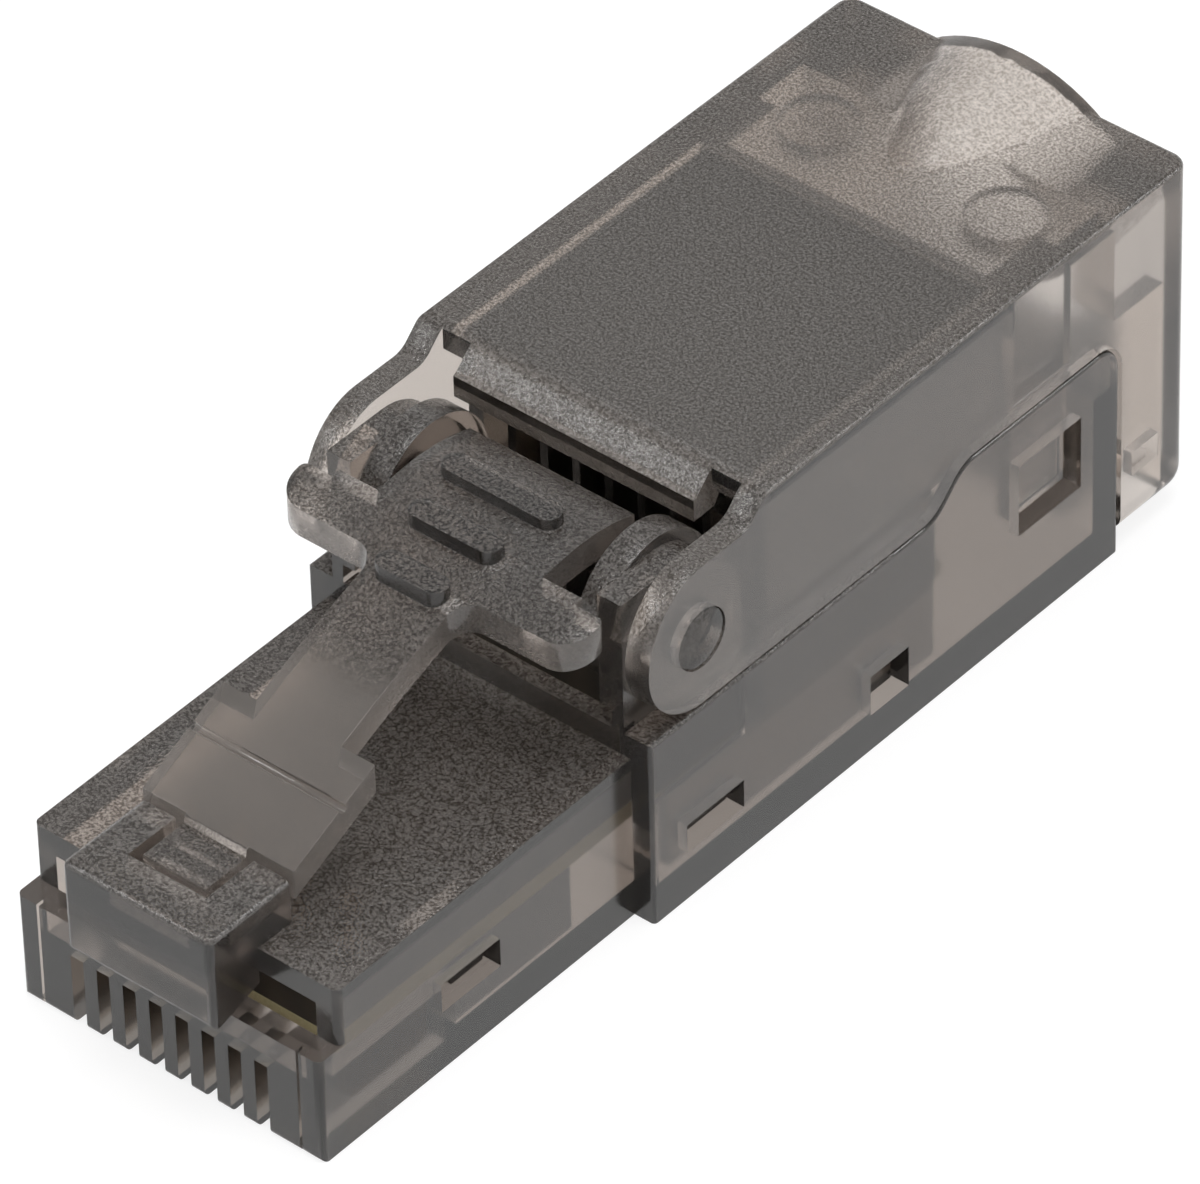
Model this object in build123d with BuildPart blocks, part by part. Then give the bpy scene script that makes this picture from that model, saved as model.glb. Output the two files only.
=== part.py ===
from build123d import *
import os
from math import sqrt

os.makedirs("parts", exist_ok=True)

# Field-termination modular plug, 8 positions, hinged cover, unshielded.
# +Z up, the mating face looks along -Y, the cable leaves along +Y, millimetres.

# Lengths along Y, from the front of the latch block to the rear wall
block_reach = 1.1
ledge_depth = 0.9
nose_length = 13.85
tray_length = 21.95
rear_length = 3.4

# Nose, to the size that the jack takes, and the step out to the housing on each side
nose_width = 11.68
shoulder_step = 0.78
nose_height = 6.05
rail_height = 3.92
nose_roof = 0.85
nose_side_wall = 0.84
nose_floor = 0.9
nose_edge = 0.25
groove_width = 0.1
groove_depth = 0.3

# Contact slots and contacts
positions = 8
contact_pitch = 1.016
slot_width = 0.5
slot_height = 2.65
slot_length = 6.2
contact_thickness = 0.35
contact_recess = 0.55
contact_setback = 2.0
contact_length = 3.55

# Housing tray
wall = 1.0
floor = 1.0
front_wall = 0.65
low_wall_height = 6.9
high_wall_height = 8.2
ramp_start = 12.45
ramp_length = 2.6
wall_corner = 1.0
tray_edge = 0.15

# Windows in the side walls: length, height, place along Y from the tray front, height of the centre
window_front = (2.6, 1.05, 2.85, 2.3)
window_middle = (1.8, 1.5, 10.95, 2.1)
window_snap = (3.0, 2.7, 18.6, 5.05)
nose_window = (2.6, 1.05, 6.6, 2.68)
rear_window = (1.3, 0.9, 1.3, 2.95)

# Hinge of the cover
pivot_back = 2.4
pivot_height = 9.45
trunnion_radius = 1.0
pin_clearance = 0.05
trunnion_inset = 0.05
lead_in_depth = 0.75
ear_radius = 2.4
ear_top = 2.7
lug_thickness = 0.9
lug_neck = 0.42
lug_top = 2.3
knuckle_radius = 2.5
knuckle_thickness = 0.95
knuckle_offset = 0.15

# Cover
cover_wall = 0.9
panel_rise = 3.6
panel_thickness = 0.9
rear_wall = 0.9
cover_foot = 0.6
foot_radius = 0.8
step_radius = 0.9
shoulder_run = 0.4
shut_gap = 0.12
side_gap = 0.1
lip_back = 2.1
lip_height = 0.7
lip_slope = 0.93
lip_half_width = 4.6
notch_depth = 0.85
cross_rib = 0.4
cross_rib_back = 17.4
cross_rib_depth = 1.1
boss_radius = 1.3
boss_spread = 3.6
boss_back = 1.7
boss_depth = 0.6
arch_foot = 8.7
tab_thickness = 0.5
tab_play = 0.15
cover_edge = 0.2
rear_corner = 0.6

# Cable entry
entry_height = 8.3
entry_half_width = 3.9
cradle_radius = 3.4
cradle_height = 6.2
grip_ring = 0.3
bulge_radius = 5.6
bulge_rise = 0.87
bulge_length = 6.1
tongue_clearance = 0.3
bulkhead = 0.8

# Latch
block_width = 5.7
block_length = 3.45
block_bottom = 4.15
block_edge = 0.25
moat = 0.3
tongue_width = 2.4
tongue_length = 1.7
latch_axis_back = 2.6
latch_axis_height = 6.8
tongue_rise = 0.84
root_radius = 0.45
latch_thickness = 1.05
shoulder_back = 7.2
shoulder_width = 5.8
arm_width = 3.25
arm_corner = 0.8
shoulder_gap = 0.15
wing_corner = 1.05
wing_heel = 0.25
pad_width = 11.5
pad_centre_width = 6.3
wing_slot_width = 9.3
rib_height = 0.55
rib_width = 0.9
groove_back = 5.8
groove_rise = 1.98
groove_radius = 0.16

# Thumb pad, along Y from the tray front
pad_front = -2.3
pad_wing_back = -0.85
pad_slot_back = -0.55
pad_back = 3.55

# Top line of the latch: distance back, rise over the latch axis
arm_line = [(3.5, 1.06), (7.2, 2.7)]
pad_line = [(-2.75, 4.58), (-0.65, 5.08), (1.35, 5.23), (3.55, 4.8)]

# Grip ribs on the pad: distance back, rise of the top, length
grip_ribs = [(-2.65, 5.05, 2.6), (-0.7, 5.5, 3.4), (1.35, 5.65, 4.4)]

# Circuit board and terminal block
board_thickness = 0.6
board_height = 3.3
board_clearance = 0.1
board_front_gap = 0.3
board_rear_margin = 7.3
terminal_pitch = 1.25
terminal_thickness = 0.35
terminal_width = 0.85
terminal_height = 9.3
terminal_slit = 0.28
channel_width = 0.95
block_start = 5.8
block_run = 8.0
idc_block_height = 7.3
front_row = 8.0
row_spacing = 3.6
saddle_start = 1.4
saddle_thickness = 0.38
saddle_gap = 0.28
catch_reach = 0.7
fit_gap = 0.1
tail_width = 0.4
tail_step = 1.2
tail_hole = 0.3
slit_depth = 1.9
carrier_length = 5.2
blade_corner = 0.45
lug_foot = 7.6

# Wire manager, carried by the cover
manager_start = 1.55
manager_length = 11.0
manager_gap = 0.15
channel_roof = 1.6

# Stations along Y
overall_length = block_reach + nose_length + tray_length + rear_length
front_y = -overall_length / 2
rail_y = front_y + block_reach
upper_y = rail_y + ledge_depth
tray_y = rail_y + nose_length
wall_end_y = tray_y + tray_length
rear_y = wall_end_y + rear_length
pivot_y = tray_y + pivot_back
lip_y = pivot_y + lip_back
block_back_y = front_y + block_length
tongue_y = front_y + tongue_length
shoulder_y = front_y + shoulder_back
board_y = upper_y + board_front_gap
board_end_y = wall_end_y - board_rear_margin
idc_block_y = tray_y + block_start
manager_y = lip_y + manager_start
ramp_y = tray_y + ramp_start
skirt_y = wall_end_y + shut_gap
corner_centre = (wall_end_y - wall_corner, high_wall_height - wall_corner)
root_y = front_y + latch_axis_back
contact_y = rail_y + contact_setback
carrier_y = rail_y + slot_length + fit_gap

# Half widths and heights
half_nose = nose_width / 2
half_housing = half_nose + shoulder_step
tray_inner = half_housing - wall
cover_inner = half_housing - cover_wall
lug_outer = cover_inner - side_gap
lug_inner = lug_outer - lug_thickness
knuckle_inner = lug_inner - knuckle_thickness
nose_inner = half_nose - nose_side_wall
cover_top = pivot_height + panel_rise
panel_under = cover_top - panel_thickness
board_top = board_height + board_thickness
board_half = nose_inner - board_clearance
bulge_centre = cover_top + bulge_rise - bulge_radius
bulge_run = sqrt(bulge_length**2 + bulge_rise**2)
ear_top_z = pivot_height + ear_top
block_top = latch_axis_height + tongue_rise
blade_top = slot_height - fit_gap

contact_places = [((i - (positions - 1) / 2) * contact_pitch, 0) for i in range(positions)]
tail_places = [
    (x, contact_y + contact_length - tail_width - (i % 2) * tail_step)
    for i, (x, y) in enumerate(contact_places)
]
terminal_places = [
    ((i - (positions - 1) / 2) * terminal_pitch, tray_y + front_row + (i % 2) * row_spacing)
    for i in range(positions)
]


# Side walls of the tray: low at the hinge, then a smooth ramp up to the high rear part.
# The lift moves the whole shut line up, for the matching edge of the cover.
def shut_line(lift):
    low = low_wall_height + lift
    high = high_wall_height + lift
    return (ramp_y, low), (ramp_y + ramp_length, high)


def window_box(window, y_start, x_centre, x_depth):
    length, height, back, centre_z = window
    with Locations((x_centre, y_start + back, centre_z)):
        Box(x_depth, length, height, mode=Mode.SUBTRACT)


with BuildPart() as plug_body:
    # Nose: the rail at the front bottom stands proud of the upper part
    with BuildSketch(Plane.YZ) as nose_side:
        with BuildLine():
            Polyline(
                (rail_y, 0),
                (tray_y + front_wall, 0),
                (tray_y + front_wall, nose_height),
                (upper_y, nose_height),
                (upper_y, rail_height),
                (rail_y, rail_height),
                close=True,
            )
        make_face()
    extrude(amount=half_nose, both=True)
    nose_uprights = plug_body.edges().filter_by(Axis.Z).filter_by(GeomType.LINE)
    foot_edge = plug_body.edges().filter_by(Axis.X).sort_by(Axis.Z)[:2].sort_by(Axis.Y)[:1]
    fillet(nose_uprights + foot_edge, radius=nose_edge)

    # Tray walls follow the shut line
    with BuildSketch(Plane.YZ) as tray_side:
        with BuildLine():
            low_end, high_start = shut_line(0)
            Line((tray_y, 0), (wall_end_y, 0))
            Line((wall_end_y, 0), (wall_end_y, high_wall_height - wall_corner))
            CenterArc(corner_centre, wall_corner, 0, 90)
            Line((wall_end_y - wall_corner, high_wall_height), high_start)
            Spline(high_start, low_end, tangents=((-1, 0), (-1, 0)))
            Line(low_end, (tray_y, low_wall_height))
            Line((tray_y, low_wall_height), (tray_y, 0))
        make_face()
    extrude(amount=half_housing, both=True)
    with BuildSketch(Plane.XY.offset(floor)) as tray_hollow:
        with Locations((0, (tray_y + front_wall + wall_end_y) / 2)):
            Rectangle(2 * tray_inner, wall_end_y - tray_y - front_wall)
    extrude(amount=high_wall_height, mode=Mode.SUBTRACT)
    upright_edges = plug_body.edges().filter_by(Axis.Z).group_by(Axis.X)
    fillet(upright_edges[0] + upright_edges[-1], radius=tray_edge)

    # Bulkhead and tongue with the half-round cable cradle
    with BuildSketch(Plane.XY) as rear_floor:
        with Locations((0, wall_end_y - bulkhead / 2)):
            Rectangle(2 * tray_inner, bulkhead)
        with Locations((0, (wall_end_y + rear_y - tongue_clearance) / 2 - bulkhead / 4)):
            Rectangle(
                2 * (entry_half_width - tongue_clearance),
                rear_length - tongue_clearance + bulkhead / 2,
            )
    extrude(amount=cradle_height)
    with BuildSketch(Plane.XZ.offset(-(wall_end_y - 2 * bulkhead))) as cradle:
        with Locations((0, entry_height)):
            Circle(cradle_radius)
    extrude(amount=-(rear_length + 3 * bulkhead), mode=Mode.SUBTRACT)
    for back in (0.25, 0.5, 0.75):
        ring_y = wall_end_y + back * (rear_length - tongue_clearance)
        with BuildSketch(Plane.XZ.offset(-ring_y)) as ring:
            with Locations((0, entry_height)):
                Circle(cradle_radius + grip_ring)
                Circle(cradle_radius - grip_ring, mode=Mode.SUBTRACT)
            with Locations((0, cradle_height + cradle_radius)):
                Rectangle(4 * cradle_radius, 2 * cradle_radius, mode=Mode.SUBTRACT)
        extrude(amount=grip_ring / 2, both=True)

    # Hinge lugs: plates with a flat front top and a round back, on a thinner neck
    for side in (-1, 1):
        with BuildSketch(Plane.YZ.offset(side * lug_inner)) as lug:
            with BuildLine():
                Polyline(
                    (pivot_y + lug_top, pivot_height),
                    (pivot_y + lug_top, lug_foot),
                    (tray_y, lug_foot),
                    (tray_y, pivot_height + lug_top),
                    (pivot_y, pivot_height + lug_top),
                )
                CenterArc((pivot_y, pivot_height), lug_top, 0, 90)
            make_face()
        extrude(amount=side * lug_thickness)
        with BuildSketch(Plane.YZ.offset(side * (lug_outer - lug_neck))) as neck:
            with Locations(((tray_y + pivot_y + lug_top) / 2, (board_top + pivot_height) / 2)):
                Rectangle(pivot_y + lug_top - tray_y, pivot_height - board_top - lug_neck)
        extrude(amount=side * lug_neck)
        with BuildSketch(Plane.YZ.offset(side * knuckle_inner)) as knuckle:
            with Locations((pivot_y + knuckle_offset, pivot_height + knuckle_offset)):
                Circle(knuckle_radius)
        extrude(amount=side * knuckle_thickness)
        with BuildSketch(Plane.YZ.offset(side * lug_outer)) as trunnion:
            with Locations((pivot_y, pivot_height)):
                Circle(trunnion_radius)
        extrude(amount=side * (half_housing - lug_outer - trunnion_inset))
        # Slanted lead-in across the upper front half of the trunnion
        slant = Plane(
            origin=(side * (half_housing - trunnion_inset), pivot_y, pivot_height),
            x_dir=(0, -1, 1),
            z_dir=(0, 1, 1),
        )
        with BuildSketch(slant) as lead_in:
            with BuildLine():
                Polyline(
                    (0, 0),
                    (2 * trunnion_radius, 0),
                    (2 * trunnion_radius, -side * 2 * lead_in_depth),
                    close=True,
                )
            make_face()
        extrude(amount=trunnion_radius, both=True, mode=Mode.SUBTRACT)

    # Latch block at the front, with the slot that takes the root of the lever
    with BuildSketch(Plane.YZ) as block_side:
        with BuildLine():
            Polyline(
                (front_y, block_bottom),
                (upper_y + nose_roof, block_bottom + nose_roof),
                (block_back_y, nose_height - nose_roof / 2),
                (block_back_y, block_top),
                (front_y, block_top),
                close=True,
            )
        make_face()
    extrude(amount=block_width / 2, both=True)
    block_uprights = plug_body.edges().filter_by(Axis.Z).group_by(Axis.Y)[0]
    block_rims = plug_body.edges().filter_by(Axis.X).group_by(Axis.Y)[0]
    block_sides = [
        e
        for e in plug_body.edges().filter_by(Axis.Y)
        if abs(e.center().Z - block_top) < shut_gap and e.center().Y < block_back_y
    ]
    fillet(block_uprights + block_rims + block_sides, radius=block_edge)
    with BuildSketch(Plane.XY.offset(latch_axis_height - root_radius - pin_clearance)) as moat_cut:
        moat_front = tongue_y - moat
        with Locations((0, (moat_front + block_back_y) / 2)):
            Rectangle(tongue_width + 2 * moat, block_back_y - moat_front)
    extrude(amount=block_top, mode=Mode.SUBTRACT)

    # Cavity for the board, open at the front above the rail, and the contact carrier's bay
    with BuildSketch(Plane.XY.offset(board_height)) as board_bay:
        with Locations((0, (upper_y + tray_y + front_wall) / 2)):
            Rectangle(2 * nose_inner, tray_y + front_wall - upper_y)
    extrude(amount=nose_height - nose_roof - board_height, mode=Mode.SUBTRACT)
    with BuildSketch(Plane.XY.offset(nose_floor)) as carrier_bay:
        with Locations((0, (rail_y + slot_length + tray_y + front_wall) / 2)):
            Rectangle(2 * nose_inner, tray_y + front_wall - rail_y - slot_length)
    extrude(amount=board_height - nose_floor, mode=Mode.SUBTRACT)
    with BuildSketch(Plane.XY.offset(slot_height)) as contact_bay:
        with Locations((0, (upper_y + rail_y + slot_length) / 2)):
            Rectangle(2 * nose_inner, rail_y + slot_length - upper_y)
    extrude(amount=board_height - slot_height, mode=Mode.SUBTRACT)

    # Fine grooves where the rail meets the side walls, and the contact slots, open at the bottom
    with BuildSketch(Plane.XY) as rail_grooves:
        with Locations((-nose_inner, rail_y), (nose_inner, rail_y)):
            Rectangle(groove_width, 2 * groove_depth)
    extrude(amount=rail_height, mode=Mode.SUBTRACT)
    with BuildSketch(Plane.XY) as slots:
        with Locations((0, rail_y + slot_length / 2)):
            with Locations(*contact_places):
                Rectangle(slot_width, slot_length)
    extrude(amount=slot_height, mode=Mode.SUBTRACT)

    # Windows for the catches of the inner pieces and of the cover
    for side in (-1, 1):
        window_box(nose_window, rail_y, side * half_nose, 2 * nose_side_wall + fit_gap)
        for window in (window_front, window_middle, window_snap):
            window_box(window, tray_y, side * half_housing, 2 * wall + fit_gap)
    plug_body.part.label = "plug_body"


with BuildPart() as hinged_cover:
    # Side outline: ear round the pivot, step up to the flat top, rear block down to its foot
    with BuildSketch(Plane.YZ) as cover_side:
        with BuildLine():
            Polyline(
                (skirt_y, cover_foot),
                (rear_y, cover_foot),
                (rear_y, cover_top),
                (lip_y + lip_slope, cover_top),
                (lip_y, ear_top_z),
                (pivot_y, ear_top_z),
            )
            EllipticalCenterArc((pivot_y, pivot_height), ear_radius, ear_top, 90, arc_size=90)
            CenterArc((pivot_y, pivot_height), ear_radius, 180, 90)
            low_end, high_start = shut_line(shut_gap)
            Line((pivot_y, pivot_height - ear_radius), low_end)
            Spline(low_end, high_start, tangents=((1, 0), (1, 0)))
            Line(high_start, (wall_end_y - wall_corner, high_wall_height + shut_gap))
            CenterArc(corner_centre, wall_corner + shut_gap, 90, -90)
            Line((skirt_y, high_wall_height - wall_corner), (skirt_y, cover_foot))
        make_face()
        foot_corner = cover_side.vertices().group_by(Axis.X)[-1].sort_by(Axis.Y)[0]
        fillet(foot_corner, radius=foot_radius)
        step_foot = cover_side.vertices().sort_by_distance((lip_y, ear_top_z))[0]
        fillet(step_foot, radius=step_radius)
    extrude(amount=half_housing, both=True)
    rear_edges = hinged_cover.edges().filter_by(Axis.Z).group_by(Axis.Y)[-1]
    fillet(rear_edges, radius=rear_corner)
    top_edges = hinged_cover.edges().filter_by(Axis.Y).group_by(Axis.Z)[-1]
    fillet(top_edges, radius=cover_edge)
    step_top = lip_y + lip_slope
    step_rise = cover_top - ear_top_z
    step_share = shoulder_run / sqrt(lip_slope**2 + step_rise**2)
    with BuildSketch(Plane.YZ) as soft_shoulder:
        with BuildLine():
            on_top = (step_top + shoulder_run, cover_top)
            on_slope = (step_top - step_share * lip_slope, cover_top - step_share * step_rise)
            Polyline(on_slope, (step_top, cover_top + shoulder_run), on_top)
            TangentArc(on_top, on_slope, tangent=(-1, 0))
        make_face()
    extrude(amount=half_housing, both=True, mode=Mode.SUBTRACT)

    # Blister over the cable entry: a round arch that climbs out of the top towards the rear
    with BuildSketch(Plane.XZ.offset(-rear_y)) as blister:
        with Locations((0, bulge_centre)):
            Circle(bulge_radius)
        with Locations((0, panel_under - bulge_radius)):
            Rectangle(4 * bulge_radius, 2 * bulge_radius, mode=Mode.SUBTRACT)
    extrude(amount=bulge_run, dir=(0, -bulge_length, -bulge_rise))

    # Hollow between the ears and under the panel, lower under the solid rear block
    arch_block_y = wall_end_y + shut_gap
    for end_y, hollow_top in (
        (lip_y, cover_top),
        (arch_block_y, panel_under),
        (rear_y - rear_wall, arch_foot),
    ):
        with BuildSketch(Plane.XY) as hollow:
            with Locations((0, (pivot_y - 2 * ear_radius + end_y) / 2)):
                Rectangle(2 * cover_inner, end_y - pivot_y + 2 * ear_radius)
        extrude(amount=hollow_top, mode=Mode.SUBTRACT)
    with BuildSketch(Plane.XZ.offset(-rear_y)) as arch:
        with Locations((0, bulge_centre)):
            Circle(bulge_radius - panel_thickness)
            Rectangle(2 * entry_half_width, 2 * bulge_radius, mode=Mode.INTERSECT)
    extrude(amount=bulge_run, dir=(0, -bulge_length, -bulge_rise), mode=Mode.SUBTRACT)
    with BuildSketch(Plane.XZ.offset(-rear_y)) as doorway:
        with Locations((0, bulge_centre / 2)):
            Rectangle(2 * entry_half_width, bulge_centre)
    extrude(amount=rear_y - arch_block_y, mode=Mode.SUBTRACT)

    # Lip at the front of the panel, with a square notch beside each ear
    with BuildSketch(Plane.YZ) as lip:
        with BuildLine():
            Polyline(
                (lip_y, ear_top_z),
                (lip_y, ear_top_z - lip_height),
                (lip_y + lip_slope, ear_top_z - lip_height),
                (lip_y + lip_slope + lip_height, panel_under + panel_thickness / 2),
                close=True,
            )
        make_face()
    extrude(amount=lip_half_width, both=True)
    with BuildSketch(Plane.XY.offset(panel_under - lip_height)) as notches:
        for side in (-1, 1):
            with Locations((side * (lip_half_width + cover_inner) / 2, lip_y)):
                Rectangle(cover_inner - lip_half_width, 2 * notch_depth)
    extrude(amount=panel_thickness + lip_height, mode=Mode.SUBTRACT)

    # Inside of the panel: cross rib, round bosses and the two snap tabs
    with BuildSketch(Plane.XY.offset(panel_under)) as rib:
        with Locations((0, tray_y + cross_rib_back)):
            Rectangle(2 * cover_inner, cross_rib)
    extrude(amount=-cross_rib_depth)
    with BuildSketch(Plane.XY.offset(panel_under)) as bosses:
        with Locations((-boss_spread, wall_end_y - boss_back), (boss_spread, wall_end_y - boss_back)):
            Circle(boss_radius)
    extrude(amount=-boss_depth)
    tab_y = tray_y + window_snap[2]
    tab_outer = tray_inner - side_gap
    tab_foot = window_snap[3] - window_snap[1] / 2 + 2 * shut_gap
    for side in (-1, 1):
        with BuildSketch(Plane.XY.offset(tab_foot)) as tab:
            with Locations((side * (tab_outer - tab_thickness / 2), tab_y)):
                Rectangle(tab_thickness, window_snap[0] - 2 * tab_play)
        extrude(amount=panel_under - tab_foot)
        with BuildSketch(Plane.XY.offset(high_wall_height + 2 * shut_gap)) as tab_root:
            with Locations((side * (tab_outer - tab_thickness + cover_inner) / 2, tab_y)):
                Rectangle(cover_inner - tab_outer + tab_thickness, window_snap[0] - 2 * tab_play)
        extrude(amount=panel_under - high_wall_height - 2 * shut_gap)
        window_box(rear_window, wall_end_y, side * half_housing, 2 * cover_wall + fit_gap)

    # Pivot holes in the ears
    with BuildSketch(Plane.YZ.offset(-half_housing)) as pivot_holes:
        with Locations((pivot_y, pivot_height)):
            Circle(trunnion_radius + pin_clearance)
    extrude(amount=2 * half_housing, mode=Mode.SUBTRACT)
    hinged_cover.part.label = "hinged_cover"


with BuildPart() as latch_lever:
    # Side form: a rising arm that levels out into the thumb pad
    top_line = [(front_y + back, latch_axis_height + rise) for back, rise in arm_line]
    top_line += [(tray_y + back, latch_axis_height + rise) for back, rise in pad_line]
    under_line = [(y, z - latch_thickness) for y, z in reversed(top_line)]
    with BuildSketch(Plane.YZ) as lever_side:
        with BuildLine():
            Spline(*top_line)
            Line(top_line[-1], under_line[0])
            Spline(*under_line)
            Polyline(
                under_line[-1],
                (root_y, latch_axis_height),
                (tongue_y, latch_axis_height),
                (tongue_y, block_top - pin_clearance),
                (block_back_y, block_top - pin_clearance),
                top_line[0],
            )
        make_face()
    extrude(amount=pad_width / 2, both=True)

    # Plan form: tongue, wide root, narrow arm, pad with wings and a long centre
    with BuildSketch(Plane.XY) as lever_plan:
        pad_y = tray_y + pad_front
        for width, start, end in (
            (tongue_width, tongue_y, block_back_y + latch_thickness),
            (shoulder_width, block_back_y + shoulder_gap, shoulder_y),
            (arm_width, shoulder_y, pad_y + latch_thickness),
            (pad_width, pad_y, tray_y + pad_wing_back),
            (wing_slot_width, pad_y, tray_y + pad_slot_back),
            (pad_centre_width, pad_y, tray_y + pad_back),
        ):
            with Locations((0, (start + end) / 2)):
                Rectangle(width, end - start)
        for radius, place in ((wing_corner, 0), (wing_heel, -1)):
            tips = lever_plan.vertices().group_by(Axis.X)
            fillet([tip.sort_by(Axis.Y)[place] for tip in (tips[0], tips[-1])], radius=radius)
        inner_corners = [
            v
            for v in lever_plan.vertices()
            if abs(v.Y - pad_y) < fit_gap and abs(v.X) < pad_centre_width / 2
        ]
        fillet(inner_corners, radius=arm_corner)
    extrude(amount=cover_top, mode=Mode.INTERSECT)

    # Root bead in the slot of the latch block
    with BuildSketch(Plane.YZ.offset(-tongue_width / 2)) as root_bead:
        with Locations((root_y, latch_axis_height)):
            Circle(root_radius)
    extrude(amount=tongue_width)

    # Grip ribs and the groove across the wide root
    for back, rise, length in grip_ribs:
        with BuildSketch(Plane.XY.offset(latch_axis_height + rise)) as grip:
            with Locations((0, tray_y + back)):
                SlotOverall(length, rib_width)
        extrude(amount=-2 * rib_height)
    with BuildSketch(Plane.YZ.offset(-shoulder_width / 2)) as groove:
        with Locations((front_y + groove_back, latch_axis_height + groove_rise)):
            Circle(groove_radius)
    extrude(amount=shoulder_width, mode=Mode.SUBTRACT)
    latch_lever.part.label = "latch_lever"


with BuildPart() as circuit_board:
    with BuildSketch(Plane.XY.offset(board_height)) as board:
        with Locations((0, (board_y + board_end_y) / 2)):
            Rectangle(2 * board_half, board_end_y - board_y)
        with Locations(*tail_places):
            Circle(tail_hole, mode=Mode.SUBTRACT)
        with Locations(*terminal_places):
            Rectangle(tail_width + fit_gap, terminal_thickness + fit_gap, mode=Mode.SUBTRACT)
    extrude(amount=board_thickness)
    circuit_board.part.label = "circuit_board"


with BuildPart() as contact_carrier:
    with BuildSketch(Plane.XY.offset(nose_floor)) as carrier:
        with Locations((0, carrier_y + carrier_length / 2)):
            Rectangle(2 * board_half, carrier_length)
    extrude(amount=board_height - nose_floor)
    with BuildSketch(Plane.XY.offset(board_height)) as carrier_grooves:
        with Locations((0, carrier_y + carrier_length / 2)):
            with Locations(*contact_places):
                Rectangle(slot_width, carrier_length)
    extrude(amount=-slot_width, mode=Mode.SUBTRACT)
    for side in (-1, 1):
        catch_x = side * (board_half + nose_side_wall / 4)
        with Locations((catch_x, carrier_y + catch_reach, nose_window[3])):
            Box(nose_side_wall / 2, 2 * catch_reach, nose_window[1] - 2 * fit_gap)
    contact_carrier.part.label = "contact_carrier"


with BuildPart() as idc_block:
    # Terminal block on the board, with a saddle that reaches down past the board's sides
    with BuildSketch(Plane.XY.offset(board_top)) as base:
        with Locations((0, idc_block_y + block_run / 2)):
            Rectangle(2 * (tray_inner - 2 * fit_gap), block_run)
    extrude(amount=idc_block_height - board_top)
    saddle_y = tray_y + saddle_start
    saddle_length = idc_block_y + block_run - saddle_y
    saddle_x = tray_inner - saddle_gap - saddle_thickness / 2
    for side in (-1, 1):
        with BuildSketch(Plane.XY.offset(floor)) as saddle:
            with Locations((side * saddle_x, saddle_y + saddle_length / 2)):
                Rectangle(saddle_thickness, saddle_length)
        extrude(amount=board_top - floor)
        for window in (window_front, window_middle):
            catch_start = side * (saddle_x + saddle_thickness / 2)
            with Locations((catch_start + side * catch_reach / 2, tray_y + window[2], window[3])):
                Box(catch_reach, window[0] - 3 * fit_gap, window[1] - 2 * fit_gap)
    # Wire gullies and terminal slots
    with BuildSketch(Plane.XY.offset(idc_block_height)) as gullies:
        for x, y in terminal_places:
            with Locations((x, idc_block_y + block_run / 2)):
                Rectangle(channel_width, block_run)
    extrude(amount=-channel_width, mode=Mode.SUBTRACT)
    with BuildSketch(Plane.XY.offset(board_top)) as terminal_slots:
        with Locations(*terminal_places):
            Rectangle(terminal_width + fit_gap, terminal_thickness + fit_gap)
    extrude(amount=idc_block_height, mode=Mode.SUBTRACT)
    idc_block.part.label = "idc_block"


with BuildPart() as wire_manager:
    # Block under the cover panel; the channels straddle the terminals
    manager_foot = idc_block_height + manager_gap
    with BuildSketch(Plane.XY.offset(manager_foot)) as manager:
        with Locations((0, manager_y + manager_length / 2)):
            Rectangle(2 * (tray_inner - 2 * fit_gap), manager_length)
    extrude(amount=panel_under - manager_foot)
    with BuildSketch(Plane.XY.offset(manager_foot)) as channels:
        for x, y in terminal_places:
            with Locations((x, manager_y + manager_length / 2)):
                Rectangle(channel_width, manager_length)
    extrude(amount=panel_under - channel_roof - manager_foot, mode=Mode.SUBTRACT)
    wire_manager.part.label = "wire_manager"


export_step(plug_body.part, "parts/plug_body.step")
export_step(hinged_cover.part, "parts/hinged_cover.step")
export_step(latch_lever.part, "parts/latch_lever.step")
export_step(circuit_board.part, "parts/circuit_board.step")
export_step(contact_carrier.part, "parts/contact_carrier.step")
export_step(idc_block.part, "parts/idc_block.step")
export_step(wire_manager.part, "parts/wire_manager.step")


# Plug contacts: blades in the slots, tails in two staggered rows up through the board
for number, (x, tail_y) in enumerate(tail_places, start=1):
    with BuildPart() as contact:
        with BuildSketch(Plane.YZ.offset(x - contact_thickness / 2)) as blade:
            with Locations((contact_y + contact_length / 2, (contact_recess + blade_top) / 2)):
                Rectangle(contact_length, blade_top - contact_recess)
            fillet(blade.vertices().group_by(Axis.Y)[0], radius=blade_corner)
            with Locations((tail_y, (blade_top + board_top) / 2)):
                Rectangle(tail_width, board_top - blade_top + 2 * blade_corner)
        extrude(amount=contact_thickness)
    contact.part.label = f"contact_{number}"
    export_step(contact.part, f"parts/contact_{number}.step")


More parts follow.
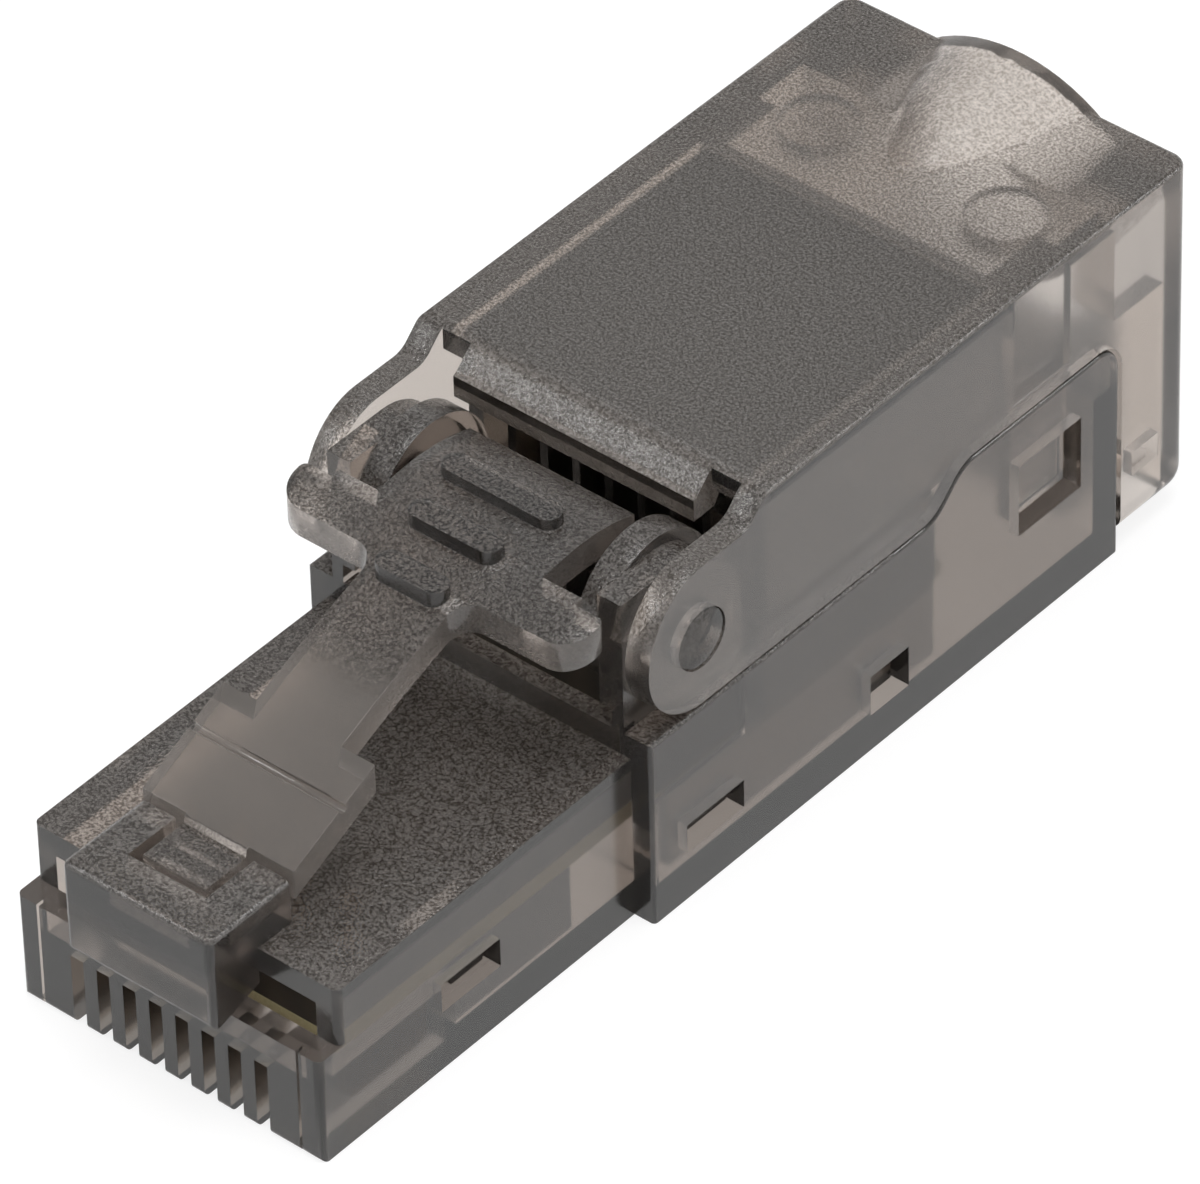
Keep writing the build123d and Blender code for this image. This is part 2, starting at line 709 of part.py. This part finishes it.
# Insulation displacement terminals: forked blades, staggered in two rows
for number, (x, y) in enumerate(terminal_places, start=1):
    with BuildPart() as terminal:
        with BuildSketch(Plane.XZ.offset(-(y + terminal_thickness / 2))) as fork:
            with Locations((x, (board_top + terminal_height) / 2)):
                Rectangle(terminal_width, terminal_height - board_top)
            with Locations((x, terminal_height)):
                Rectangle(terminal_slit, 2 * slit_depth, mode=Mode.SUBTRACT)
                Rectangle(2 * terminal_slit, 2 * terminal_slit, rotation=45, mode=Mode.SUBTRACT)
            with Locations((x, board_height + board_thickness / 2)):
                Rectangle(tail_width, board_thickness)
        extrude(amount=terminal_thickness)
    terminal.part.label = f"idc_terminal_{number}"
    export_step(terminal.part, f"parts/idc_terminal_{number}.step")
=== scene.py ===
import math
import bpy
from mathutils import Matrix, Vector


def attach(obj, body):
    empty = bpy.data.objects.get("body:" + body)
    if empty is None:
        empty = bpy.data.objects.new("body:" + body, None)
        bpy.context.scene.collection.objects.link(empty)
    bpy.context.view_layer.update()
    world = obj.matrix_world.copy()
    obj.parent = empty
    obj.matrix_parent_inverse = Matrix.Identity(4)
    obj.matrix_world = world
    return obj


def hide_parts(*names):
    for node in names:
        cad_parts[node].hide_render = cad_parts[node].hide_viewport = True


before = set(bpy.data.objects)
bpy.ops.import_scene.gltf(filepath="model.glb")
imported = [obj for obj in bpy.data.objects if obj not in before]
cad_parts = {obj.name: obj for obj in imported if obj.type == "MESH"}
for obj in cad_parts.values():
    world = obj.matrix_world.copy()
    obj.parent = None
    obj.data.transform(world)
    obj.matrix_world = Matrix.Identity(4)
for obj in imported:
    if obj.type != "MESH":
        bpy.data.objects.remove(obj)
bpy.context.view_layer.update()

mm = 0.001


def hexColor(text):  # sRGB hex to linear, with alpha 1
    channels = [int(text[i:i + 2], 16) / 255 for i in (0, 2, 4)]
    linear = [c / 12.92 if c <= 0.04045 else ((c + 0.055) / 1.055) ** 2.4 for c in channels]
    return (*linear, 1.0)


def newMaterial(name):
    material = bpy.data.materials.new(name)
    material.use_nodes = True
    material.node_tree.nodes.clear()
    return material, material.node_tree


def addNode(tree, kind, values=None, links=None, **settings):
    node = tree.nodes.new(kind)
    for key, value in settings.items():
        setattr(node, key, value)
    for socket, value in (values or {}).items():
        node.inputs[socket].default_value = value
    for socket, source in (links or {}).items():
        tree.links.new(source, node.inputs[socket])
    return node


# Smoky polycarbonate, injection moulded: clear resin with a grey-brown dye, so light goes through
# thin walls and thick places go nearly black. The mould was spark-eroded on the outer faces that
# look up, which leaves a frosted grain. The side faces were polished and only blur what is behind.
# The real grain is about 0.03 mm, and is drawn three times as coarse so that it shows.
smokySettings = {
    "surface": "f6eee7", "paintedSpecklePit": "776d64", "side": "f2eae3",  # grain's peaks, its low spots darkened as painted glint speckle, side faces
    "shadePaintedPit": "776d64", "shadePaintedSide": "f2eae3",  # the same on faces with the attribute "shadePainted", which the materials below darken as painted shade
    "absorb": "6f5f53", "density": 480.0,  # dye, per metre of light path
    "ior": 1.585, "sideRoughness": 0.18, "topRoughness": 0.22,
    "sideClarity": 0.98, "topClarity": 0.9,  # share of light that goes through a face
    "grainSize": 0.095 * mm, "grainHeight": 0.022 * mm, "grainDetail": 1.0, "grainFineness": 0.65,
    "peakLevel": 0.62, "pitLevel": 0.38,
    "slopeNone": 0.15, "slopeFull": 0.45,  # upward part of the normal: grain starts, grain is full
    "texturedAbove": 5.5 * mm, "polishedAbove": 13.1 * mm,
    "texturedFrom": -30.0 * mm, "fadeLength": 1.5 * mm, "texturedTo": 30.0 * mm,
    "rootEnd": -30.0 * mm,
}


def smokyPolycarbonate(name, settings):
    material, tree = newMaterial(name)
    coords = addNode(tree, "ShaderNodeTexCoord")
    facing = addNode(tree, "ShaderNodeSeparateXYZ", links={0: coords.outputs["Normal"]})
    lookingUp = addNode(tree, "ShaderNodeMapRange",
                        {"From Min": settings["slopeNone"], "From Max": settings["slopeFull"]},
                        {"Value": facing.outputs["Z"]})
    place = addNode(tree, "ShaderNodeSeparateXYZ", links={0: coords.outputs["Object"]})

    # where the mould was eroded: not on the blister, the floor and the rail, nor outside the
    # stretch along the part from texturedFrom to texturedTo, but again on the root tongue
    below = addNode(tree, "ShaderNodeMath", {1: settings["polishedAbove"]},
                    {0: place.outputs["Z"]}, operation="LESS_THAN")
    above = addNode(tree, "ShaderNodeMath", {1: settings["texturedAbove"]},
                    {0: place.outputs["Z"]}, operation="GREATER_THAN")
    outside = addNode(tree, "ShaderNodeMath", links={0: below.outputs[0], 1: above.outputs[0]},
                      operation="MULTIPLY")
    fadeIn = addNode(tree, "ShaderNodeMapRange",
                     {"From Min": settings["texturedFrom"],
                      "From Max": settings["texturedFrom"] + settings["fadeLength"]},
                     {"Value": place.outputs["Y"]})
    root = addNode(tree, "ShaderNodeMath", {1: settings["rootEnd"]},
                   {0: place.outputs["Y"]}, operation="LESS_THAN")
    behind = addNode(tree, "ShaderNodeMath",
                     links={0: fadeIn.outputs["Result"], 1: root.outputs[0]}, operation="MAXIMUM")
    before = addNode(tree, "ShaderNodeMath", {1: settings["texturedTo"]},
                     {0: place.outputs["Y"]}, operation="LESS_THAN")
    between = addNode(tree, "ShaderNodeMath", links={0: before.outputs[0], 1: behind.outputs[0]},
                      operation="MULTIPLY")
    eroded = addNode(tree, "ShaderNodeMath", links={0: outside.outputs[0], 1: between.outputs[0]},
                     operation="MULTIPLY")
    textured = addNode(tree, "ShaderNodeMath",
                       links={0: lookingUp.outputs["Result"], 1: eroded.outputs[0]},
                       operation="MULTIPLY")

    # the grain, and the colours of its peaks and low spots; the dark low spots are painted glint
    # speckle
    grain = addNode(tree, "ShaderNodeTexNoise",
                    {"Scale": 1 / settings["grainSize"], "Detail": settings["grainDetail"],
                     "Roughness": settings["grainFineness"]},
                    {"Vector": coords.outputs["Object"]})
    paintedSpeckleMask = addNode(tree, "ShaderNodeMapRange",
                   {"From Min": settings["peakLevel"], "From Max": settings["pitLevel"]},
                   {"Value": grain.outputs["Fac"]})
    paintedSpeckleShare = addNode(tree, "ShaderNodeMath",
                       links={0: paintedSpeckleMask.outputs["Result"], 1: textured.outputs[0]},
                       operation="MULTIPLY")
    # faces picked out by the shells' tests get darker low spots and side colour here: painted
    # shade
    shadePainted = addNode(tree, "ShaderNodeAttribute", attribute_name="shadePainted")
    paintedSpecklePit = addNode(tree, "ShaderNodeMix",
                  {6: hexColor(settings["paintedSpecklePit"]), 7: hexColor(settings["shadePaintedPit"])},
                  {0: shadePainted.outputs["Fac"]}, data_type="RGBA")
    side = addNode(tree, "ShaderNodeMix",
                   {6: hexColor(settings["side"]), 7: hexColor(settings["shadePaintedSide"])},
                   {0: shadePainted.outputs["Fac"]}, data_type="RGBA")
    grained = addNode(tree, "ShaderNodeMix", {6: hexColor(settings["surface"])},
                      {0: paintedSpeckleShare.outputs[0], 7: paintedSpecklePit.outputs[2]}, data_type="RGBA")
    tint = addNode(tree, "ShaderNodeMix",
                   links={0: lookingUp.outputs["Result"],
                          6: side.outputs[2], 7: grained.outputs[2]}, data_type="RGBA")

    roughness = addNode(tree, "ShaderNodeMapRange",
                        {"To Min": settings["sideRoughness"], "To Max": settings["topRoughness"]},
                        {"Value": textured.outputs[0]})
    clarity = addNode(tree, "ShaderNodeMapRange",
                      {"To Min": settings["sideClarity"], "To Max": settings["topClarity"]},
                      {"Value": textured.outputs[0]})
    shader = addNode(tree, "ShaderNodeBsdfPrincipled", {"IOR": settings["ior"]},
                     {"Base Color": tint.outputs[2], "Roughness": roughness.outputs["Result"],
                      "Transmission Weight": clarity.outputs["Result"]})
    if settings["grainHeight"] > 0:
        bump = addNode(tree, "ShaderNodeBump", {"Distance": settings["grainHeight"]},
                       {"Height": grain.outputs["Fac"], "Strength": textured.outputs[0]})
        tree.links.new(bump.outputs["Normal"], shader.inputs["Normal"])
    inside = addNode(tree, "ShaderNodeVolumeAbsorption",
                     {"Color": hexColor(settings["absorb"]), "Density": settings["density"]})
    addNode(tree, "ShaderNodeOutputMaterial",
            links={"Surface": shader.outputs["BSDF"], "Volume": inside.outputs["Volume"]})
    return material


# the body is eroded up to the hinge, and the walls of its contact slots get painted shade
smokyBody = smokyPolycarbonate("smokyBodyPolycarbonate", {
    **smokySettings, "density": 580.0, "topClarity": 0.87, "texturedTo": 6.0 * mm,
    "shadePaintedSide": "8f867d"})
# finer grain, lighter painted glint speckle and less dye in the cover, whose lip gets painted
# shade on its front face
smokyCover = smokyPolycarbonate("smokyCoverPolycarbonate", {
    **smokySettings, "density": 300.0, "topClarity": 0.86, "paintedSpecklePit": "8f857b",
    "grainSize": 0.09 * mm, "shadePaintedSide": "4a443e"})
# the latch is polished between its tongue and its arm, and its ribs get painted shade on their
# tops and sides
smokyBlade = smokyPolycarbonate("smokyLatchPolycarbonate", {
    **smokySettings, "texturedFrom": -11.6 * mm, "rootEnd": -16.6 * mm,
    "sideClarity": 0.92, "topClarity": 0.93, "density": 400.0,
    "shadePaintedSide": "3a3530", "shadePaintedPit": "38332f"})
# the blocks inside are smooth and hold more dye
smokyInsert = smokyPolycarbonate("smokyInsertPolycarbonate", {
    **smokySettings, "density": 800.0, "side": "a39a91", "sideRoughness": 0.25,
    "grainHeight": 0.0})

# Glass-fibre laminate: dark solder resist on both faces, in which the weave shows, and pale
# fibre at the sawn edges.
boardSettings = {
    "resist": "2e2a24", "weave": "3b352c", "edge": "bdb48c", "fibre": "8f8763",
    "threadPitch": 0.5 * mm, "threadWaver": 0.4, "waveTurn": 6.28,
    "fibreSize": 0.06 * mm, "fibreDetail": 2.0, "roughness": 0.45,
}


def glassFibreLaminate(settings):
    material, tree = newMaterial("glassFibreLaminate")
    coords = addNode(tree, "ShaderNodeTexCoord")
    weave = addNode(tree, "ShaderNodeTexWave",
                    {"Scale": 1 / settings["threadPitch"] / settings["waveTurn"],
                     "Distortion": settings["threadWaver"]},
                    {"Vector": coords.outputs["Object"]}, bands_direction="DIAGONAL")
    face = addNode(tree, "ShaderNodeMix",
                   {6: hexColor(settings["resist"]), 7: hexColor(settings["weave"])},
                   {0: weave.outputs["Fac"]}, data_type="RGBA")
    fibres = addNode(tree, "ShaderNodeTexNoise",
                     {"Scale": 1 / settings["fibreSize"], "Detail": settings["fibreDetail"]},
                     {"Vector": coords.outputs["Object"]})
    edge = addNode(tree, "ShaderNodeMix",
                   {6: hexColor(settings["edge"]), 7: hexColor(settings["fibre"])},
                   {0: fibres.outputs["Fac"]}, data_type="RGBA")
    facing = addNode(tree, "ShaderNodeSeparateXYZ", links={0: coords.outputs["Normal"]})
    flat = addNode(tree, "ShaderNodeMath", links={0: facing.outputs["Z"]}, operation="ABSOLUTE")
    tone = addNode(tree, "ShaderNodeMix",
                   links={0: flat.outputs[0], 6: edge.outputs[2], 7: face.outputs[2]},
                   data_type="RGBA")
    shader = addNode(tree, "ShaderNodeBsdfPrincipled", {"Roughness": settings["roughness"]},
                     {"Base Color": tone.outputs[2]})
    addNode(tree, "ShaderNodeOutputMaterial", links={"Surface": shader.outputs["BSDF"]})
    return material


laminate = glassFibreLaminate(boardSettings)

# Hard gold over nickel on the contacts, bright tin on the terminals. Stamping leaves fine
# brushed lines along the part.
platingSettings = {"roughness": 0.3, "roughnessSwing": 0.2, "lineStretch": 0.12, "lineDetail": 3.0}
goldSettings = {**platingSettings, "color": "b08a4a", "dull": "8a6a38", "lineSize": 0.08 * mm}
tinSettings = {**platingSettings, "color": "c9c8c4", "dull": "9f9e9a", "lineSize": 0.1 * mm}


def platedMetal(name, settings):
    material, tree = newMaterial(name)
    coords = addNode(tree, "ShaderNodeTexCoord")
    stretch = addNode(tree, "ShaderNodeMapping", {"Scale": (1.0, settings["lineStretch"], 1.0)},
                      {"Vector": coords.outputs["Object"]})
    lines = addNode(tree, "ShaderNodeTexNoise",
                    {"Scale": 1 / settings["lineSize"], "Detail": settings["lineDetail"]},
                    {"Vector": stretch.outputs["Vector"]})
    tone = addNode(tree, "ShaderNodeMix",
                   {6: hexColor(settings["color"]), 7: hexColor(settings["dull"])},
                   {0: lines.outputs["Fac"]}, data_type="RGBA")
    swing = settings["roughnessSwing"]
    rough = addNode(tree, "ShaderNodeMath", {1: swing, 2: settings["roughness"] - swing / 2},
                    {0: lines.outputs["Fac"]}, operation="MULTIPLY_ADD")
    shader = addNode(tree, "ShaderNodeBsdfPrincipled", {"Metallic": 1.0},
                     {"Base Color": tone.outputs[2], "Roughness": rough.outputs["Value"]})
    addNode(tree, "ShaderNodeOutputMaterial", links={"Surface": shader.outputs["BSDF"]})
    return material


goldPlate = platedMetal("goldPlatedBronze", goldSettings)
tinPlate = platedMetal("tinPlatedBronze", tinSettings)
print("materials made")


def dressMesh(piece, material):
    piece.data.materials.clear()
    piece.data.materials.append(material)


def pickOnly(piece):
    bpy.ops.object.select_all(action="DESELECT")
    piece.select_set(True)
    bpy.context.view_layer.objects.active = piece


# The housing shells are the CAD forms with their moulded edges rounded.
shellEdges = {"edge": 0.09 * mm, "segments": 2, "sharpAbove": 40, "smoothBelow": 35,
              "mergeWithin": 0.002 * mm, "flatWithin": 0.5}  # angles in degrees


def roundEdges(piece, settings, **options):
    bevel = piece.modifiers.new("mouldedEdge", "BEVEL")
    bevel.width = settings["edge"]
    bevel.segments = settings["segments"]
    for key, value in options.items():
        setattr(bevel, key, value)
    bpy.ops.object.modifier_apply(modifier=bevel.name)


def roundedCopy(node, name, settings):
    piece = bpy.data.objects.new(name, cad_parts[node].data.copy())
    bpy.context.scene.collection.objects.link(piece)
    pickOnly(piece)
    bpy.ops.object.mode_set(mode="EDIT")
    bpy.ops.mesh.select_all(action="SELECT")
    bpy.ops.mesh.remove_doubles(threshold=settings["mergeWithin"])
    bpy.ops.mesh.dissolve_limited(angle_limit=math.radians(settings["flatWithin"]))
    bpy.ops.object.mode_set(mode="OBJECT")
    roundEdges(piece, settings, limit_method="ANGLE", use_clamp_overlap=True,
               angle_limit=math.radians(settings["sharpAbove"]))
    bpy.ops.object.shade_smooth_by_angle(angle=math.radians(settings["smoothBelow"]))
    # flat faces stay flat up to their rounded edges
    weighted = piece.modifiers.new("flatFaces", "WEIGHTED_NORMAL")
    weighted.keep_sharp = True
    bpy.ops.object.modifier_apply(modifier=weighted.name)
    return piece


shells = {
    "plug_body": ("plugBodyShell", "body", smokyBody),
    "hinged_cover": ("hingedCoverShell", "cover", smokyCover),
    "latch_lever": ("latchBlade", "latch", smokyBlade),
}
for node, (name, body, material) in shells.items():
    shell = roundedCopy(node, name, shellEdges)
    dressMesh(shell, material)
    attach(shell, body)
    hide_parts(node)
print("housing shells rounded")


# The faces of a shell that pass the test get the attribute "shadePainted", which its material
# reads to darken them as painted shade.
# The test is given the face's centre and normal, and works in millimetres.
def paintShadeOnFaces(name, passes):
    mesh = bpy.data.objects[name].data
    shadePainted = mesh.attributes.new("shadePainted", "FLOAT", "FACE")
    for face in mesh.polygons:
        shadePainted.data[face.index].value = float(passes(face.center / mm, face.normal))


square = 0.9  # a face looks along an axis when this much of its normal does
# where the ribs, the lip's front and the contact slots get painted shade
ribSettings = {"tops": (11.85, 12.3, 12.45), "topError": 0.02, "levelTop": 0.99,
               "foot": 10.9, "margin": 0.15}
lipSettings = {"halfWidth": 4.7, "foot": 11.3, "top": 12.4}
slotSettings = {"halfWidth": 4.9, "end": -15.5, "top": 4.0}


def atRibTop(height):
    return min(abs(height - top) for top in ribSettings["tops"]) < ribSettings["topError"]


def ribOutlines(mesh):  # the x and y range of each rib's top, with a margin
    outlines = []
    for face in mesh.polygons:
        if face.normal.z > ribSettings["levelTop"] and atRibTop(face.center.z / mm):
            corners = [mesh.vertices[index].co / mm for index in face.vertices]
            outlines.append([(min(corner[axis] for corner in corners) - ribSettings["margin"],
                              max(corner[axis] for corner in corners) + ribSettings["margin"])
                             for axis in (0, 1)])
    return outlines


ribs = ribOutlines(bpy.data.objects["latchBlade"].data)


def onRib(centre, normal):  # its top, and its sides down to the pad
    return (centre.z > ribSettings["foot"] and (normal.z < square or atRibTop(centre.z))
            and any(x[0] < centre.x < x[1] and y[0] < centre.y < y[1] for x, y in ribs))


def onLipFront(centre, normal):
    return (normal.y < -square and abs(centre.x) < lipSettings["halfWidth"]
            and lipSettings["foot"] < centre.z < lipSettings["top"])


def inContactSlot(centre, normal):
    return (abs(normal.x) > square and abs(centre.x) < slotSettings["halfWidth"]
            and centre.y < slotSettings["end"] and centre.z < slotSettings["top"])


paintShadeOnFaces("latchBlade", onRib)
paintShadeOnFaces("hingedCoverShell", onLipFront)
paintShadeOnFaces("plugBodyShell", inContactSlot)
# the faces picked out above now get painted shade from their materials
print("dull faces marked")

# The barbs of the snap tabs fill the rear windows of the side walls, apart from a gap behind
# and below.
barbSettings = {"inner": 5.5 * mm, "outer": 6.3 * mm, "front": 12.05 * mm, "rear": 14.52 * mm,
                "foot": 4.1 * mm, "top": 6.25 * mm}
barbRanges = [(barbSettings[low], barbSettings[high])
              for low, high in (("inner", "outer"), ("front", "rear"), ("foot", "top"))]
barbMiddle = [(low + high) / 2 for low, high in barbRanges]
barbParts = []
for side in (-1, 1):
    bpy.ops.mesh.primitive_cube_add(size=1, location=(side * barbMiddle[0], *barbMiddle[1:]))
    barb = bpy.context.active_object
    barb.scale = [high - low for low, high in barbRanges]
    bpy.ops.object.transform_apply(location=True, rotation=False, scale=True)
    barbParts.append(barb)
pickOnly(barbParts[0])
barbParts[1].select_set(True)
bpy.ops.object.join()
snapBarbs = bpy.context.active_object
snapBarbs.name = "snapBarbs"
roundEdges(snapBarbs, shellEdges)
dressMesh(snapBarbs, smokyCover)
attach(snapBarbs, "cover")
print("snap barbs made")

# The inner pieces keep their CAD form.
for node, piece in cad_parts.items():
    if node in ("contact_carrier", "idc_block", "wire_manager"):
        dressMesh(piece, smokyInsert)
    elif node == "circuit_board":
        dressMesh(piece, laminate)
    elif node.startswith("contact_"):
        dressMesh(piece, goldPlate)
    elif node.startswith("idc_terminal"):
        dressMesh(piece, tinPlate)
print("inner pieces dressed")

# A white paper table in a plain white room. Camera, glossy and transmission rays see most of the
# table as white, and the rest of it takes the shadow.
tableSettings = {"size": 0.5, "height": -0.01 * mm, "paper": "f4f4f4", "shadowShare": 0.3,
                 "glow": 1.16}
roomSettings = {"color": "ffffff", "light": 0.5, "seen": 1.0, "ceilingFrom": 0.45, "wallTo": 0.25}


def whitePaper(settings):
    material, tree = newMaterial("whitePaper")
    path = addNode(tree, "ShaderNodeLightPath")
    seen = addNode(tree, "ShaderNodeMath",
                   links={0: path.outputs["Is Camera Ray"], 1: path.outputs["Is Glossy Ray"]},
                   operation="MAXIMUM")
    seen = addNode(tree, "ShaderNodeMath",
                   links={0: seen.outputs[0], 1: path.outputs["Is Transmission Ray"]},
                   operation="MAXIMUM")
    share = addNode(tree, "ShaderNodeMath", {1: 1 - settings["shadowShare"]},
                    {0: seen.outputs[0]}, operation="MULTIPLY")
    paper = addNode(tree, "ShaderNodeBsdfDiffuse", {"Color": hexColor(settings["paper"])})
    white = addNode(tree, "ShaderNodeEmission", {"Strength": settings["glow"]})
    mix = addNode(tree, "ShaderNodeMixShader",
                  links={0: share.outputs[0], 1: paper.outputs[0], 2: white.outputs[0]})
    addNode(tree, "ShaderNodeOutputMaterial", links={"Surface": mix.outputs[0]})
    return material


bpy.ops.mesh.primitive_plane_add(size=tableSettings["size"],
                                 location=(0, 0, tableSettings["height"]))
table = bpy.context.active_object
table.name = "tableTop"
dressMesh(table, whitePaper(tableSettings))


def softRoom(settings):
    world = bpy.data.worlds.new("softRoom")
    world.use_nodes = True
    tree = world.node_tree
    tree.nodes.clear()
    path = addNode(tree, "ShaderNodeLightPath")
    coords = addNode(tree, "ShaderNodeTexCoord")
    direction = addNode(tree, "ShaderNodeSeparateXYZ", links={0: coords.outputs["Generated"]})
    wall = addNode(tree, "ShaderNodeMapRange",
                   {"From Min": settings["ceilingFrom"], "From Max": settings["wallTo"]},
                   {"Value": direction.outputs["Z"]})  # 1 on the white walls, 0 on the ceiling
    through = addNode(tree, "ShaderNodeMath",
                      links={0: path.outputs["Is Glossy Ray"],
                             1: path.outputs["Is Transmission Ray"]}, operation="MAXIMUM")
    through = addNode(tree, "ShaderNodeMath",
                      links={0: through.outputs[0], 1: wall.outputs["Result"]},
                      operation="MULTIPLY")
    seen = addNode(tree, "ShaderNodeMath",
                   links={0: path.outputs["Is Camera Ray"], 1: through.outputs[0]},
                   operation="MAXIMUM")
    glow = addNode(tree, "ShaderNodeMapRange",
                   {"To Min": settings["light"], "To Max": settings["seen"]},
                   {"Value": seen.outputs[0]})
    room = addNode(tree, "ShaderNodeBackground", {"Color": hexColor(settings["color"])},
                   {"Strength": glow.outputs["Result"]})
    addNode(tree, "ShaderNodeOutputWorld", links={"Surface": room.outputs[0]})
    return world


bpy.context.scene.world = softRoom(roomSettings)

# Square softboxes, in metres and watts. The small one makes the grain glint.
lampAim = (0, 0, 6 * mm)
lamps = {
    "topSoftbox": {"side": 0.16, "place": (0.03, -0.02, 0.3), "power": 0.36},
    "rightSoftbox": {"side": 0.1, "place": (0.22, 0.2, 0.17), "power": 0.2},
    "leftSoftbox": {"side": 0.1, "place": (-0.18, -0.22, 0.2), "power": 0.2},
    "grainLamp": {"side": 0.03, "place": (-0.09, 0.10, 0.27), "power": 0.03},
}


def softbox(name, settings):
    lamp = bpy.data.lights.new(name, "AREA")
    lamp.shape = "RECTANGLE"
    lamp.size = lamp.size_y = settings["side"]
    lamp.energy = settings["power"]
    holder = bpy.data.objects.new(name, lamp)
    bpy.context.scene.collection.objects.link(holder)
    holder.location = settings["place"]
    aim = Vector(lampAim) - Vector(settings["place"])
    holder.rotation_euler = aim.to_track_quat("-Z", "Y").to_euler()


for name, settings in lamps.items():
    softbox(name, settings)
print("stage and light set")

# The camera stands where it sees the part as the photograph does.
cameraSettings = {"place": (168.089 * mm, -191.392 * mm, 221.474 * mm),
                  "turn": (49.743, 1.233, 40.199),  # degrees
                  "lens": 338.463, "sensor": 36.0, "nearest": 0.01}
lens = bpy.data.cameras.new("photoCamera")
lens.sensor_width = cameraSettings["sensor"]
lens.lens = cameraSettings["lens"]
lens.clip_start = cameraSettings["nearest"]
camera = bpy.data.objects.new("photoCamera", lens)
camera.location = cameraSettings["place"]
camera.rotation_euler = [math.radians(angle) for angle in cameraSettings["turn"]]
bpy.context.scene.collection.objects.link(camera)
bpy.context.scene.camera = camera
bpy.context.scene.view_settings.view_transform = "Standard"
print("camera set")
